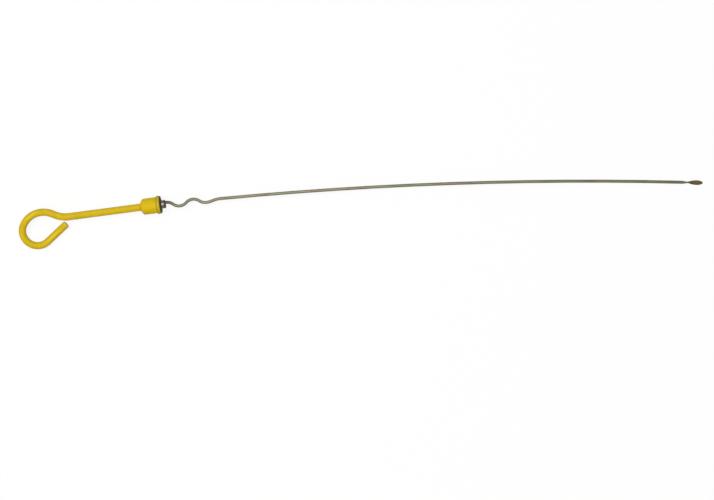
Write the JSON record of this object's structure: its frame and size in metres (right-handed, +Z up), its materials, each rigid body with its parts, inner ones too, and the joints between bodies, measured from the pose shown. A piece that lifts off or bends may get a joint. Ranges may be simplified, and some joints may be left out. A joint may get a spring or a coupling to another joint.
{
  "type": "engine oil dipstick",
  "caption": "Engine oil dipstick: yellow finger loop handle with a capped rubber seal, holding a waved and bowed spring wire that ends in a flattened leaf.",
  "frame": {"origin": "On the cap's axis, where the ferrule leaves the nose of the seal and enters the dipstick tube.", "axes": "+X along the cap's axis towards the tip of the wire, +Z up from the table that the dipstick lies on, and the finger loop and the bow of the wire fall to -Y."},
  "size_m": [0.6014, 0.0547, 0.016],
  "materials": {
    "yellow_coat": "satin yellow coat over steel",
    "seal_rubber": "moulded, matt black",
    "ferrule_steel": "bare, turned",
    "wire_steel": "drawn spring wire, dull"
  },
  "bodies": {
    "root": {"loop_handle": "yellow_coat", "stopper_cup": "yellow_coat", "seal_bush": "seal_rubber", "ferrule": "ferrule_steel", "indicator_wire": "wire_steel"}
  },
  "joints": []
}
